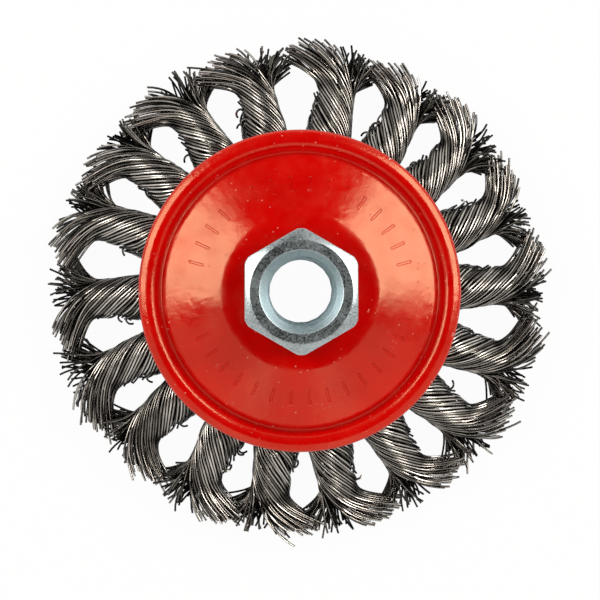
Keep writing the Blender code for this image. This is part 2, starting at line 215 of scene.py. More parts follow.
def bump(tree, height, distance, strength, normal=None):
    inputs = {"Height": height, "Distance": distance, "Strength": strength}
    if normal is not None:
        inputs["Normal"] = normal
    return node(tree, "ShaderNodeBump", inputs).outputs["Normal"]


def axis_radius(tree, vector):
    """Distance from the bore's axis."""
    parts = node(tree, "ShaderNodeSeparateXYZ", {"Vector": vector}).outputs
    squares = add(tree, maths(tree, "POWER", parts["X"], 2.0), maths(tree, "POWER", parts["Y"], 2.0))
    return maths(tree, "SQRT", squares)


def ring_marks(tree, radius, frequency):
    """Waves in fine rings about the bore's axis, with their frequency in radians a metre."""
    return maths(tree, "SINE", multiply(tree, radius, frequency))


# Materials

def red_paint():
    """Gloss red paint with specks of dust, painted shade in the groove, small chips and a faint orange peel.
    """
    material, tree, shader = new_material("red_paint")
    place = position(tree)
    dark_red = (0.52, 0.0005, 0.0005)
    bright_red = (0.63, 0.001, 0.0005)
    dust_colour = (0.75, 0.42, 0.36)
    groove_shade_colour = (0.20, 0.001, 0.001)
    chip_colour = (0.62, 0.58, 0.54)
    large_chip_colour = (0.92, 0.90, 0.87)
    dust_share = 0.5
    groove_shade_share = 0.45
    rim_wear = 0.11
    raggedness = 0.0008
    dust_roughness = 0.3

    cloud = noise(tree, place, scale=90.0, detail=3.0)
    colour = ramp(tree, cloud, [(0.3, dark_red), (0.7, bright_red)])
    dust_cells = node(tree, "ShaderNodeTexVoronoi", {"Vector": place, "Scale": 750.0}).outputs["Distance"]
    dust_patches = noise(tree, place, scale=160.0, detail=4.0, roughness=0.65)
    near_cell = grey_ramp(tree, dust_cells, low=0.16, high=0.06)
    specks = multiply(tree, near_cell, grey_ramp(tree, dust_patches, low=0.52, high=0.64))
    colour = mix_colour(tree, multiply(tree, specks, dust_share), colour, dust_colour)

    radius = axis_radius(tree, place)
    # A darker ring in the groove is painted shade
    past_inner_edge = grey_ramp(tree, radius, low=0.0266, high=0.0272)
    before_outer_edge = grey_ramp(tree, radius, low=0.0283, high=0.0279)
    groove_shade = multiply(tree, past_inner_edge, before_outer_edge)
    colour = mix_colour(tree, multiply(tree, groove_shade, groove_shade_share), colour, groove_shade_colour)

    wear = noise(tree, place, scale=520.0, detail=5.0, roughness=0.7)
    on_rim = grey_ramp(tree, radius, low=0.0306, high=0.0318)
    chips = grey_ramp(tree, add(tree, wear, multiply(tree, on_rim, rim_wear)), low=0.745, high=0.77)
    colour = mix_colour(tree, chips, colour, chip_colour)
    chip_radius = 0.0311
    chip_angle = math.radians(-13.6)
    chip_rise = 0.004
    chip_place = (
        chip_radius * math.cos(chip_angle), chip_radius * math.sin(chip_angle), CUP_LOW.z + chip_rise,
    )
    chip_way = node(tree, "ShaderNodeVectorMath", {0: place, 1: chip_place}, operation="DISTANCE")
    ragged = add(tree, chip_way.outputs["Value"], multiply(tree, wear, raggedness))
    colour = mix_colour(tree, grey_ramp(tree, ragged, low=0.0009, high=0.0007), colour, large_chip_colour)
    tree.links.new(colour, shader.inputs["Base Color"])

    smear = noise(tree, place, scale=240.0, detail=3.0, roughness=0.6)
    rough = grey_ramp(tree, smear, low=0.3, high=0.75, low_value=0.13, high_value=0.30)
    rough = add(tree, rough, multiply(tree, specks, dust_roughness))
    tree.links.new(rough, shader.inputs["Roughness"])
    shader.inputs["Specular IOR Level"].default_value = 0.85
    shader.inputs["Specular Tint"].default_value = (1.0, 0.76, 0.45, 1.0)
    peel = noise(tree, place, scale=620.0)
    normal = bump(tree, peel, distance=0.00006, strength=0.8)
    normal = bump(tree, specks, distance=0.00004, strength=0.7, normal=normal)
    tree.links.new(normal, shader.inputs["Normal"])
    return material


def zinc_steel():
    """Dull mottled zinc plating with fine turning marks, darker and rougher inside the bore."""
    material, tree, shader = new_material("zinc_steel")
    place = position(tree)
    dark_zinc = (0.35, 0.405, 0.42)
    middle_zinc = (0.48, 0.55, 0.57)
    bright_zinc = (0.60, 0.68, 0.71)
    bore_colour = (0.13, 0.25, 0.29)
    mottle_share = 0.7
    broad_share = 0.3

    mottle = noise(tree, place, scale=2600.0, detail=3.0, roughness=0.6)
    broad = noise(tree, place, scale=260.0)
    tone = add(tree, multiply(tree, mottle, mottle_share), multiply(tree, broad, broad_share))
    colour = ramp(tree, tone, [(0.38, dark_zinc), (0.50, middle_zinc), (0.64, bright_zinc)])
    radius = axis_radius(tree, place)
    in_bore = grey_ramp(tree, radius, low=0.0082, high=0.0080, high_value=0.5)
    colour = mix_colour(tree, in_bore, colour, bore_colour)
    tree.links.new(colour, shader.inputs["Base Color"])

    shader.inputs["Metallic"].default_value = 1.0
    rough = grey_ramp(tree, tone, low=0.38, high=0.62, low_value=0.25, high_value=0.42)
    rougher_bore = grey_ramp(tree, radius, low=0.0083, high=0.0080, high_value=0.18)
    tree.links.new(add(tree, rough, rougher_bore), shader.inputs["Roughness"])
    normal = bump(tree, ring_marks(tree, radius, frequency=26000.0), distance=0.00001, strength=0.25)
    normal = bump(tree, mottle, distance=0.00003, strength=0.5, normal=normal)
    tree.links.new(normal, shader.inputs["Normal"])
    return material


def pressed_steel():
    """Plain grey steel sheet with cloudy stains and faint rings."""
    material, tree, shader = new_material("pressed_steel")
    place = position(tree)
    dark_steel = (0.22, 0.22, 0.21)
    bright_steel = (0.42, 0.42, 0.41)

    cloud = noise(tree, place, scale=220.0, detail=5.0, roughness=0.6)
    colour = ramp(tree, cloud, [(0.3, dark_steel), (0.7, bright_steel)])
    tree.links.new(colour, shader.inputs["Base Color"])
    shader.inputs["Metallic"].default_value = 1.0
    rough = grey_ramp(tree, cloud, low=0.3, high=0.7, low_value=0.35, high_value=0.55)
    tree.links.new(rough, shader.inputs["Roughness"])
    marks = ring_marks(tree, axis_radius(tree, place), frequency=15000.0)
    normal = bump(tree, marks, distance=0.00001, strength=0.3)
    normal = bump(tree, cloud, distance=0.00004, strength=0.4, normal=normal)
    tree.links.new(normal, shader.inputs["Normal"])
    return material


def steel_wire():
    """Drawn steel wire, bright on the open side of the knot, with painted shade between the wires.

    The mesh carries four values for it: a wire's own tone, nearness to the tip, the lit share below which
    shade is painted, and painted shade.
    """
    material, tree, shader = new_material("steel_wire")
    tone = attribute(tree, "tone")
    tip = attribute(tree, "tip")
    lit_share = attribute(tree, "lit_share")
    shade = attribute(tree, "shade")
    place = position(tree)
    dark_wire = (0.17, 0.157, 0.138)
    middle_wire = (0.60, 0.562, 0.508)
    bright_wire = (1.0, 0.950, 0.875)
    rust_colour = (0.10, 0.085, 0.065)
    shade_colour = (0.035, 0.032, 0.028)
    # Near-black colour for painted shade between the wires, in the inner layers and underneath
    crevice_shade_colour = (0.006, 0.0055, 0.005)
    tone_share = 0.6
    grime_share = 0.4
    rust_share = 0.6

    grime = noise(tree, place, scale=420.0, detail=4.0, roughness=0.6)
    mixed = add(tree, multiply(tree, tone, tone_share), multiply(tree, grime, grime_share))
    colour = ramp(tree, mixed, [(0.24, dark_wire), (0.46, middle_wire), (0.76, bright_wire)])
    rust = multiply(tree, grey_ramp(tree, grime, low=0.52, high=0.70), multiply(tree, tip, rust_share))
    colour = mix_colour(tree, rust, colour, rust_colour)
    colour = mix_colour(tree, shade, colour, shade_colour)
    # Where the lit share is low, the wire takes the painted shade colour
    colour = mix_colour(tree, maths(tree, "POWER", lit_share, 2.0), crevice_shade_colour, colour)
    tree.links.new(colour, shader.inputs["Base Color"])

    shader.inputs["Metallic"].default_value = 1.0
    rough = grey_ramp(tree, mixed, low=0.2, high=0.8, low_value=0.26, high_value=0.18)
    rougher_in_shade = grey_ramp(tree, lit_share, low=0.0, high=0.4, low_value=0.35, high_value=0.0)
    tree.links.new(add(tree, rough, rougher_in_shade), shader.inputs["Roughness"])
    fine = noise(tree, place, scale=3500.0)
    tree.links.new(bump(tree, fine, distance=0.00001, strength=0.05), shader.inputs["Normal"])
    return material


# Mesh helpers

def mesh_object(name, vertices, faces, material, sharp_angle):
    mesh = bpy.data.meshes.new(name)
    mesh.from_pydata([tuple(v) for v in vertices], [], faces)
    mesh.materials.append(material)
    mesh.shade_smooth()
    mesh.set_sharp_from_angle(angle=math.radians(sharp_angle))
    item = bpy.data.objects.new(name, mesh)
    bpy.context.scene.collection.objects.link(item)
    return item


def closed_grid(columns, rows):
    """Faces of a closed ring of closed outlines, with columns outlines of rows points."""
    faces = []
    for column in range(columns):
        following = (column + 1) % columns
        for row in range(rows):
            below = (row + 1) % rows
            faces.append((
                column * rows + row, column * rows + below, following * rows + below, following * rows + row,
            ))
    return faces


def even_turns(steps):
    return [2 * math.pi * step / steps for step in range(steps)]


def turned_points(outline, turn):
    """Points of a (radius, height) outline, turned about the bore's axis."""
    return [(r * math.cos(turn), r * math.sin(turn), z) for r, z in outline]


def turned(name, outline, turns, material, sharp_angle):
    """Mesh of a closed (radius, height) outline, clockwise with heights upwards, turned about the bore."""
    vertices = []
    for turn in turns:
        vertices += turned_points(outline, turn)
    return mesh_object(name, vertices, closed_grid(len(turns), len(outline)), material, sharp_angle)


def rounded_corner(before, corner, after, radius, steps):
    """Arc of points that rounds one corner of an outline."""
    before, corner, after = Vector(before), Vector(corner), Vector(after)
    back = (before - corner).normalized()
    forth = (after - corner).normalized()
    half_angle = back.angle(forth) / 2
    setback = radius / math.tan(half_angle)
    centre = corner + (back + forth).normalized() * radius / math.sin(half_angle)
    start = corner + back * setback - centre
    end = corner + forth * setback - centre
    sweep = -start.angle_signed(end)
    points = []
    for step in range(steps + 1):
        turn = sweep * step / steps
        x = start.x * math.cos(turn) - start.y * math.sin(turn)
        y = start.x * math.sin(turn) + start.y * math.cos(turn)
        points.append((centre.x + x, centre.y + y))
    return points


def sheet_outline(face, thickness, edge_steps=5):
    """Closed outline of a sheet with round edges, whose upper face is given from the middle outwards."""
    points = [Vector(point) for point in face]
    least_mitre = 0.4
    normals = []
    for start, end in zip(points, points[1:]):
        along = (end - start).normalized()
        normals.append(Vector((along.y, -along.x)))
    upper, lower = [], []
    for i, point in enumerate(points):
        before = normals[max(i - 1, 0)]
        after = normals[min(i, len(normals) - 1)]
        mitre = (before + after).normalized()
        upper.append(point)
        lower.append(point + mitre * thickness / max(mitre.dot(after), least_mitre))
    outer_edge = round_edge(upper[-1], lower[-1], normals[-1], edge_steps)
    inner_edge = round_edge(lower[0], upper[0], -normals[0], edge_steps)
    return [tuple(point) for point in upper + outer_edge + lower[::-1] + inner_edge]


def round_edge(start, end, normal, steps, flatness=0.45):
    """Points of a flattened half circle that leads round the edge of a sheet."""
    middle = (start + end) / 2
    radius = (end - start).length / 2
    outward = Vector((-normal.y, normal.x))
    points = []
    for step in range(1, steps):
        turn = math.pi * step / steps
        bulge = outward * radius * flatness * math.sin(turn)
        points.append(middle - normal * radius * math.cos(turn) + bulge)
    return points


# Cups and nut

def make_outer_cup(material):
    """Red cup with a flat middle, a sloping face with stamped ticks, a groove and a rounded rim."""
    bead_centre_radius = CUP_RADIUS - BEAD_RADIUS
    groove_outer = bead_centre_radius + BEAD_RADIUS * math.cos(BEAD_START)
    groove_inner = groove_outer - GROOVE_WIDTH
    valley_height = flange_height(groove_outer, CUP_TOP_RISE) - GROOVE_DEPTH
    bead_centre_height = valley_height - BEAD_RADIUS * math.sin(BEAD_START)
    flat_corner = (CUP_FLAT_RADIUS, CUP_FLAT_HEIGHT)
    slope_end = (groove_inner, flange_height(groove_inner, CUP_TOP_RISE))
    face = [(PLATE_BORE_RADIUS, CUP_FLAT_HEIGHT)]
    face += rounded_corner(face[0], flat_corner, slope_end, FLAT_BEND, steps=8)
    tick_rows = []
    half_tick = TICK_LENGTH / 2
    for reach in (-half_tick - TICK_FLANK, -half_tick, half_tick, half_tick + TICK_FLANK):
        radius = TICK_RADIUS + reach
        if abs(reach) <= half_tick:
            tick_rows.append(len(face))
        face.append((radius, flange_height(radius, CUP_TOP_RISE)))
    crest_angle = math.pi / 2 - KNOT_DIP
    bead = []
    bead_steps = 12
    for step in range(bead_steps + 1):
        angle = BEAD_START + (crest_angle - BEAD_START) * step / bead_steps
        bead.append((
            bead_centre_radius + BEAD_RADIUS * math.cos(angle),
            bead_centre_height + BEAD_RADIUS * math.sin(angle),
        ))
    shoulder = (CUP_RADIUS, bead[-1][1] - (CUP_RADIUS - bead[-1][0]) * SLOPE)
    rim_foot = (CUP_RADIUS, CUP_LOW.z)
    face += lip_points(groove_inner)
    lip_end = face.pop()
    face += rounded_corner(face[-1], lip_end, bead[0], GROOVE_BEND, steps=3)
    face += bead[1:]
    face += rounded_corner(bead[-1], shoulder, rim_foot, RIM_BEND, steps=8)
    face.append(rim_foot)
    turns, stamped = tick_turns()
    outline = sheet_outline(face, SHEET)
    sharp_angle = 20.0
    cup = turned("outer_cup_painted", outline, turns, material, sharp_angle)
    for column in stamped:
        for row in tick_rows:
            cup.data.vertices[column * len(outline) + row].co.z -= TICK_DEPTH
    cup.data.set_sharp_from_angle(angle=math.radians(sharp_angle))
    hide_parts("outer_cup")
    return cup


def lip_points(end_radius):
    """Points of the slope's last stretch before the groove, where it eases to almost level."""
    height = flange_height(LIP_RADIUS, CUP_TOP_RISE)
    width = (end_radius - LIP_RADIUS) / LIP_STEPS
    points = [(LIP_RADIUS, height)]
    for step in range(LIP_STEPS):
        share = (step + 0.5) / LIP_STEPS
        height -= width * math.tan(KNOT_DIP + (LIP_SLOPE - KNOT_DIP) * share)
        points.append((LIP_RADIUS + (step + 1) * width, height))
    return points


def tick_turns():
    """Turns of the cup's outlines, close together at the sides of each tick, and which of them are stamped.

    Both halves of the ring have a bare place at each end, so the ticks stand in two groups.
    """
    side = TICK_WIDTH / 2 / TICK_RADIUS
    flank = TICK_FLANK / TICK_RADIUS
    pitch = 2 * math.pi / TICK_COUNT
    places_a_half = TICK_COUNT // 2
    shares_between = (0.3, 0.5, 0.7)
    turns, stamped = [], []
    for tick in range(TICK_COUNT):
        middle = (tick + 0.5) * pitch
        if tick % places_a_half not in (0, places_a_half - 1):
            stamped += [len(turns) + 1, len(turns) + 2]
        turns += [middle - side - flank, middle - side, middle + side, middle + side + flank]
        turns += [middle + pitch * share for share in shares_between]
    return turns, stamped


def make_inner_cup(material):
    """Pressed cup that clamps the roots of the knots from below, with its edge turned down."""
    rise = -LEG_TOP - CLEARANCE
    flange_start = (INNER_FLANGE_RADIUS, flange_height(INNER_FLANGE_RADIUS, rise))
    flange_end = (INNER_RADIUS - INNER_LIP, flange_height(INNER_RADIUS - INNER_LIP, rise))
    flat_corner = (INNER_FLAT_RADIUS, INNER_FLAT_HEIGHT)
    edge = (INNER_RADIUS, flange_end[1] - INNER_LIP)
    face = [(PLATE_BORE_RADIUS, INNER_FLAT_HEIGHT)]
    face += rounded_corner(face[0], flat_corner, flange_start, SHEET, steps=6)
    face += rounded_corner(flat_corner, flange_start, flange_end, SHEET, steps=6)
    face += rounded_corner(flange_start, flange_end, edge, SHEET / 2, steps=3)
    face.append(edge)
    outline = sheet_outline(face, SHEET)
    cup = turned("inner_cup_pressed", outline, even_turns(ROUND_STEPS), material, sharp_angle=50.0)
    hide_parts("inner_cup")
    return cup


def make_nut(material):
    """Hex nut with its chamfers, countersink, round shank, swaged lip and a real thread in the bore."""
    turns = even_turns(ROUND_STEPS)
    vertices = []
    for turn in turns:
        outline = nut_outline(turn) + thread_outline(turn)
        vertices += turned_points(reversed(outline), turn)
    faces = closed_grid(len(turns), len(vertices) // len(turns))
    nut = mesh_object("arbor_nut_threaded", vertices, faces, material, sharp_angle=14.0)
    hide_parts("arbor_nut")
    return nut


def nut_outline(turn):
    """Outside of the nut's section at a turn about the bore, from the swaged lip up to the countersink."""
    top, bottom = NUT_HIGH.z, NUT_LOW.z
    base = CUP_FLAT_HEIGHT + CLEARANCE
    swage_top = bottom + SWAGE_THICKNESS
    from_flat = (turn + math.pi / 6) % (math.pi / 3) - math.pi / 6
    side = min(NUT_FLATS_RADIUS / math.cos(from_flat), NUT_CORNER_RADIUS)
    drop = (side - NUT_FACE_RADIUS) * NUT_CHAMFER_SLOPE
    edge_drop = NUT_EDGE * NUT_CHAMFER_SLOPE
    return [
        (BORE_RADIUS + SWAGE_THICKNESS - NUT_EDGE, bottom + NUT_EDGE),
        (BORE_RADIUS + SWAGE_THICKNESS + NUT_EDGE, bottom),
        (SWAGE_RADIUS - SWAGE_ROUNDING, bottom),
        (SWAGE_RADIUS - SWAGE_ROUNDING_MIDDLE, bottom + SWAGE_ROUNDING_MIDDLE),
        (SWAGE_RADIUS, bottom + SWAGE_ROUNDING),
        (SWAGE_RADIUS, swage_top - NUT_EDGE),
        (SWAGE_RADIUS - NUT_EDGE, swage_top),
        (SHANK_RADIUS, swage_top),
        (SHANK_RADIUS, base),
        (NUT_FACE_RADIUS - NUT_EDGE, base),
        (NUT_FACE_RADIUS + NUT_EDGE, base + edge_drop),
        (side - NUT_EDGE, base + drop - edge_drop),
        (side, base + drop + NUT_EDGE),
        (side, top - drop - NUT_EDGE),
        (side - NUT_EDGE, top - drop + edge_drop),
        (NUT_FACE_RADIUS + NUT_EDGE, top - edge_drop),
        (NUT_FACE_RADIUS - NUT_EDGE, top),
        (COUNTERSINK_RADIUS + NUT_EDGE, top),
        (COUNTERSINK_RADIUS - NUT_EDGE, top - NUT_EDGE),
    ]


def thread_outline(turn):
    """Inside of the nut's section at a turn about the bore, down the thread to the swaged lip.

    The thread starts within the countersink and reaches its full depth after a short run.
    """
    countersink_foot = NUT_HIGH.z - (COUNTERSINK_RADIUS - BORE_RADIUS) / COUNTERSINK_SLOPE
    start = countersink_foot + THREAD_START
    end = NUT_LOW.z + SWAGE_THICKNESS
    rows = 132
    flank_slope = 2.6
    root_flat = 0.35
    points = []
    for row in range(rows + 1):
        share = row / rows
        height = start + (end - start) * share
        phase = (height / THREAD_PITCH - turn / (2 * math.pi)) % 1.0
        tooth = min(max(abs(phase - 0.5) * flank_slope - root_flat, 0.0), 1.0)
        fade = min((start - height) / THREAD_RUN_IN, 1.0)
        thread = BORE_RADIUS + THREAD_DEPTH * (1 - tooth) * fade
        countersink = BORE_RADIUS + max(height - countersink_foot, 0.0) * COUNTERSINK_SLOPE
        points.append((max(thread, countersink), height))
    return points


# Wires, with sizes in metres and the layers as shares of a strand's radius
WIRE_RADIUS = 0.00023
WIRE_SIDES = 6
LAYER_COUNTS = (16, 16, 13, 10, 7)
OUTER_LAYER = 0.97
LAYER_STEP = 0.184
ROOT_RADIUS = 0.00445
STRAND_GAP = 0.0001
CLOSING_LENGTH = 0.002
RIM_DISTANCE = knot_distance(CUP_RADIUS)
TIP_DISTANCE = 0.0299
RIM_TWIST = math.radians(-76.0)
EARLY_TWIST = 0.35
TIGHT_RINGS = 7
FREE_STEP = 0.0005
FREE_STEPS = 60
FREE_RINGS = 20
LEAN_START = 0.003
LEAN_FULL = 0.010

# How the knot turns, narrows and opens beyond the cup's rim, where lengths are in millimetres
MM_A_METRE = 1000
SPIN = 10.0
TIGHTER_SPIN = 2.0
TIGHTER_SPIN_FULL = 7.0
FLARE_SPIN = 1.5
FLARE_START = 8.5
FLARE_FULL = 12.0
NARROWING_ACROSS = 0.030
NARROWING_HIGH = 0.020
OPENING_HIGH = 0.05
LEFT_TURN_LOST = 0.88
FLARE_STIFFNESS = 0.7
RIPPLE = 0.05
RIPPLE_SPREAD = 0.03
RIPPLE_TURN = 0.9
RIPPLE_HIGH = 0.6
BREAK_FIRST = 2.0
BREAK_LAST = 7.5

# How much the knots and their wires differ
KNOT_SEED = 100
HABIT_LIMIT = 1.5
TWIST_SPREAD = math.radians(6.0)
WIDTH_SPREAD = 0.15
LENGTH_SPREAD = 0.0005
DISORDER_SPREAD = 0.25
WIRE_LENGTH_SPREAD = 0.0008
FACE_SPREAD = 0.00045
DRIFT_ACROSS = 0.14
DRIFT_HIGH = 0.12
CURL_SPREAD = 0.18
STRAY_SHARE = 0.06
STRAY_DRIFT = 3.0
STRAY_LENGTH = 0.002
STRAY_PAST_FACE = 0.0015
BROKEN_SHARE = 0.75
BREAK_WIDTH = (0.60, 0.88)
CURLED_SHARE = 0.2
CURL_A_STEP = (0.42, 0.62)
CURLED_END = (0.0018, 0.0030)
STRAIGHT_END = (0.0012, 0.0023)

# Degrees by which each knot leans round the brush, the first knot first
KNOT_LEANS = (0.0, 0.0, -0.5, -2.0, -2.0, 1.0, 1.0, 0.0, -1.0, 1.0, 1.5, 0.5, 1.0, 0.5, 0.0, 0.5, -0.5, -1.0)

# What sets a knot apart, each about 0: more twist, a wider tuft, longer wires and more disorder
Habit = namedtuple("Habit", "more_twist wider longer wilder")

# The strand that starts above the plate ends under the other one, as the back of the tuft
Strand = namedtuple("Strand", "side disorder sweep left_opening right_opening right_turn_lost length")
UPPER_STRAND = Strand(
    side=-1, disorder=1.2, sweep=-0.02, left_opening=0.08, right_opening=0.20,
    right_turn_lost=0.75, length=0.0193,
)
LOWER_STRAND = Strand(
    side=1, disorder=0.65, sweep=0.08, left_opening=0.30, right_opening=0.10,
    right_turn_lost=0.35, length=0.0220,
)


def smooth(value, start, end):
    share = np.clip((value - start) / (end - start), 0.0, 1.0)
    return share * share * (3 - 2 * share)


def section_places(random):
    """Places of the wires in one strand's half-round section: across from -1 to 1, and depth from 0 to 1."""
    widest_angle = 84
    least_depth = 0.03
    across, depth = [], []
    for layer, count in enumerate(LAYER_COUNTS):
        radius = OUTER_LAYER - layer * LAYER_STEP
        angle_spread = 0.25 / count
        radius_spread = 0.012 + 0.02 * layer
        angles = np.radians(np.linspace(-widest_angle, widest_angle, count))
        angles = angles + random.normal(0, angle_spread, count)
        radii = radius + random.normal(0, radius_spread, count)
        across.append(radii * np.sin(angles))
        depth.append(radii * np.cos(angles))
    return np.concatenate(across), np.clip(np.concatenate(depth), least_depth, None)


def hook_points(across, depth):
    """Paths of the wires from the upper leg, down through the plate hole, to the lower leg."""
    elbow = BUNDLE_RADIUS + ELBOW_RADIUS
    elbow_width = (LEG_HALF_WIDTH + BUNDLE_RADIUS) / 2
    slant = math.radians(45.0)
    slant_shift = 0.0011
    slant_depth = 0.0036
    slant_bulge = 0.0009
    hole_radius = BUNDLE_RADIUS * 0.9
    hole_bulge = BUNDLE_RADIUS * 0.7
    packed_depth = 0.94
    packed_width = 0.95
    stations = [
        (0.0, CROTCH, LEG_SEAT, LEG_HALF_WIDTH, LEG_DEPTH - GROOVE_DEPTH, 0.0),
        (0.0, elbow, LEG_SEAT + ELBOW_RADIUS, elbow_width, LEG_DEPTH, 0.0),
        (slant, elbow - slant_shift, LEG_SEAT + slant_shift, BUNDLE_RADIUS, slant_depth, slant_bulge),
        (math.pi / 2, 0.0, LEG_SEAT, hole_radius, hole_radius, hole_bulge),
    ]
    stations += [(math.pi - turn, along, -rise, *rest) for turn, along, rise, *rest in stations[::-1]]
    paths = []
    for turn, along, rise, half_width, outer, bulge in stations:
        out = depth * (outer + bulge) - bulge
        out = out * packed_depth + WIRE_RADIUS / 2
        paths.append(np.stack([
            along - out * math.sin(turn), half_width * across * packed_width, rise + out * math.cos(turn),
        ], axis=-1))
    return np.stack(paths, axis=1)


def leg_points(strand, across, depth, habit, random):
    """Paths of one strand's wires from the plate's edge, through the twist, to the flared tips."""
    rim_twist = RIM_TWIST + TWIST_SPREAD * habit.more_twist
    tight = twisted_paths(strand, across, depth, rim_twist)
    left, rise = twisted(strand, rim_twist, STRAND_GAP + depth * ROOT_RADIUS, across * ROOT_RADIUS)
    fine, stray = free_paths(strand, left, rise, habit, random)
    return np.concatenate([tight, ended_paths(strand, fine, stray, habit, random)], axis=1)


def twisted(strand, twist, out, side):
    """Left and rise of one strand's wires, which lie out from its flat side and to a side, after a twist."""
    rise = (math.cos(twist) * out + math.sin(twist) * side) * strand.side
    left = (math.sin(twist) * out - math.cos(twist) * side) * strand.side
    return left, rise


def twisted_paths(strand, across, depth, rim_twist):
    """Paths of one strand's wires from the plate's edge to the cup's rim, where the strands twist tightly."""
    paths = []
    for distance in CROTCH + (RIM_DISTANCE - CROTCH) * np.arange(1, TIGHT_RINGS) / TIGHT_RINGS:
        share = (distance - CROTCH) / (RIM_DISTANCE - CROTCH)
        twist = -math.pi + (math.pi + rim_twist) * (share * (1 + EARLY_TWIST - EARLY_TWIST * share))
        gap = LEG_SEAT * (1 - smooth(distance, CROTCH, CROTCH + CLOSING_LENGTH)) + STRAND_GAP
        width = LEG_HALF_WIDTH + (ROOT_RADIUS - LEG_HALF_WIDTH) * share
        left, rise = twisted(strand, twist, gap + depth * width, across * width)
        paths.append(np.stack([np.full(len(across), distance), left, rise], axis=-1))
    return np.stack(paths, axis=1)


def free_paths(strand, left, rise, habit, random):
    """Finely stepped paths of one strand's wires beyond the cup's rim, and which of the wires stray.

    Each wire turns about the knot's axis and closes in on it, until the flare lets it run out to a side.
    """
    count = len(left)
    along = np.full(count, RIM_DISTANCE)
    disorder = strand.disorder * (1 + DISORDER_SPREAD * abs(habit.wilder))
    left_opening = strand.left_opening * (1 + WIDTH_SPREAD * habit.wider)
    right_opening = strand.right_opening * (1 + WIDTH_SPREAD * habit.wider)
    drift_left = random.normal(0, DRIFT_ACROSS * disorder, count)
    drift_rise = random.normal(0, DRIFT_HIGH * disorder, count)
    stray = random.random(count) < STRAY_SHARE
    drift_left[stray] *= STRAY_DRIFT
    drift_rise[stray] *= STRAY_DRIFT
    curl = random.normal(1.0, CURL_SPREAD, count)
    phase = random.random(count) * 2 * math.pi
    wander = random.normal(RIPPLE, RIPPLE_SPREAD, count)
    paths = [np.stack([along, left, rise], axis=-1)]
    left_rate = np.zeros(count)
    rise_rate = np.zeros(count)
    for _step in range(FREE_STEPS):
        beyond = (along - RIM_DISTANCE) * MM_A_METRE
        flare = smooth(beyond, FLARE_START, FLARE_FULL)
        degrees = SPIN + TIGHTER_SPIN * smooth(beyond, 0.0, TIGHTER_SPIN_FULL) + FLARE_SPIN * flare
        spin = np.radians(degrees) * MM_A_METRE
        turn_kept = 1 - flare * np.where(left > 0, LEFT_TURN_LOST, strand.right_turn_lost)
        opening = np.where(left > 0, left_opening, right_opening)
        spread_left = (opening * curl * flare - NARROWING_ACROSS * (1 - flare)) * MM_A_METRE
        spread_rise = (OPENING_HIGH * flare - NARROWING_HIGH * (1 - flare)) * MM_A_METRE
        ripple = wander * np.sin(phase + beyond * RIPPLE_TURN)
        left_aim = spin * rise + spread_left * left + (strand.sweep * curl + drift_left) * flare + ripple
        rise_aim = -spin * turn_kept * left + spread_rise * rise + drift_rise * flare + ripple * RIPPLE_HIGH
        follow = 1 - FLARE_STIFFNESS * flare
        left_rate = left_rate + (left_aim - left_rate) * follow
        rise_rate = rise_rate + (rise_aim - rise_rate) * follow
        length = np.sqrt(1 + left_rate ** 2 + rise_rate ** 2)
        along = along + FREE_STEP / length
        left = left + FREE_STEP * left_rate / length
        rise = rise + FREE_STEP * rise_rate / length
        paths.append(np.stack([along, left, rise], axis=-1))
    return np.stack(paths, axis=1), stray


def ended_paths(strand, fine, stray, habit, random):
    """Paths of the free wires in a few rings each, ended by their length, by the worn face or by a break."""
    count = len(fine)
    longer = LENGTH_SPREAD * habit.longer
    wire_length = random.normal(strand.length + longer, WIRE_LENGTH_SPREAD, count)
    wire_length = wire_length + np.where(stray, random.random(count) * STRAY_LENGTH, 0.0)
    face = TIP_DISTANCE + longer + random.normal(0, FACE_SPREAD, count)
    face = face + np.where(stray, random.random(count) * STRAY_PAST_FACE, 0.0)
    broken = random.random(count) < BROKEN_SHARE
    lengths = np.arange(FREE_STEPS + 1) * FREE_STEP
    free = np.empty((count, FREE_RINGS, 3))
    for wire in range(count):
        reach = min(wire_length[wire], np.interp(face[wire], fine[wire, :, 0], lengths))
        if broken[wire]:
            reach = break_wire(fine[wire], lengths, reach, random)
        stops = np.linspace(0.0, reach, FREE_RINGS)
        for axis in range(3):
            free[wire, :, axis] = np.interp(stops, lengths, fine[wire, :, axis])
    return free


def break_wire(path, lengths, reach, random):
    """Length to which a wire runs that broke where it came round the side of the knot.

    The broken end sticks out there, and some of the ends curl back towards the knot.
    """
    beyond = (path[:, 0] - RIM_DISTANCE) * MM_A_METRE
    left, rise = path[:, 1], path[:, 2]
    widest = ROOT_RADIUS * random.uniform(*BREAK_WIDTH)
    in_reach = (beyond > BREAK_FIRST) & (beyond < BREAK_LAST)
    crossing = in_reach & (left > widest) & (rise > 0) & (np.gradient(left) > 0)
    if not crossing.any():
        return reach
    place = int(np.argmax(crossing))
    direction = path[place] - path[place - 1]
    curls = random.random() < CURLED_SHARE
    turn_a_step = random.uniform(*CURL_A_STEP) if curls else 0.0
    heading = math.atan2(direction[1], direction[0]) + turn_a_step * np.arange(1, len(path) - place)
    speed = math.hypot(direction[0], direction[1])
    steps = np.empty((len(heading), 3))
    steps[:, 0] = speed * np.cos(heading)
    steps[:, 1] = speed * np.sin(heading)
    steps[:, 2] = direction[2]
    path[place + 1:] = path[place] + np.cumsum(steps, axis=0)
    return lengths[place] + random.uniform(*(CURLED_END if curls else STRAIGHT_END))


def knot_paths(random):
    """Paths of one knot's wires, from the tips at the back, through the plate hole, to the tips in front."""
    across, depth = section_places(random)
    habit = Habit(*np.clip(random.normal(0, 1, len(Habit._fields)), -HABIT_LIMIT, HABIT_LIMIT))
    upper = leg_points(UPPER_STRAND, across, depth, habit, random)
    lower = leg_points(LOWER_STRAND, across, depth, habit, random)
    return np.concatenate([upper[:, ::-1], hook_points(across, depth), lower], axis=1)


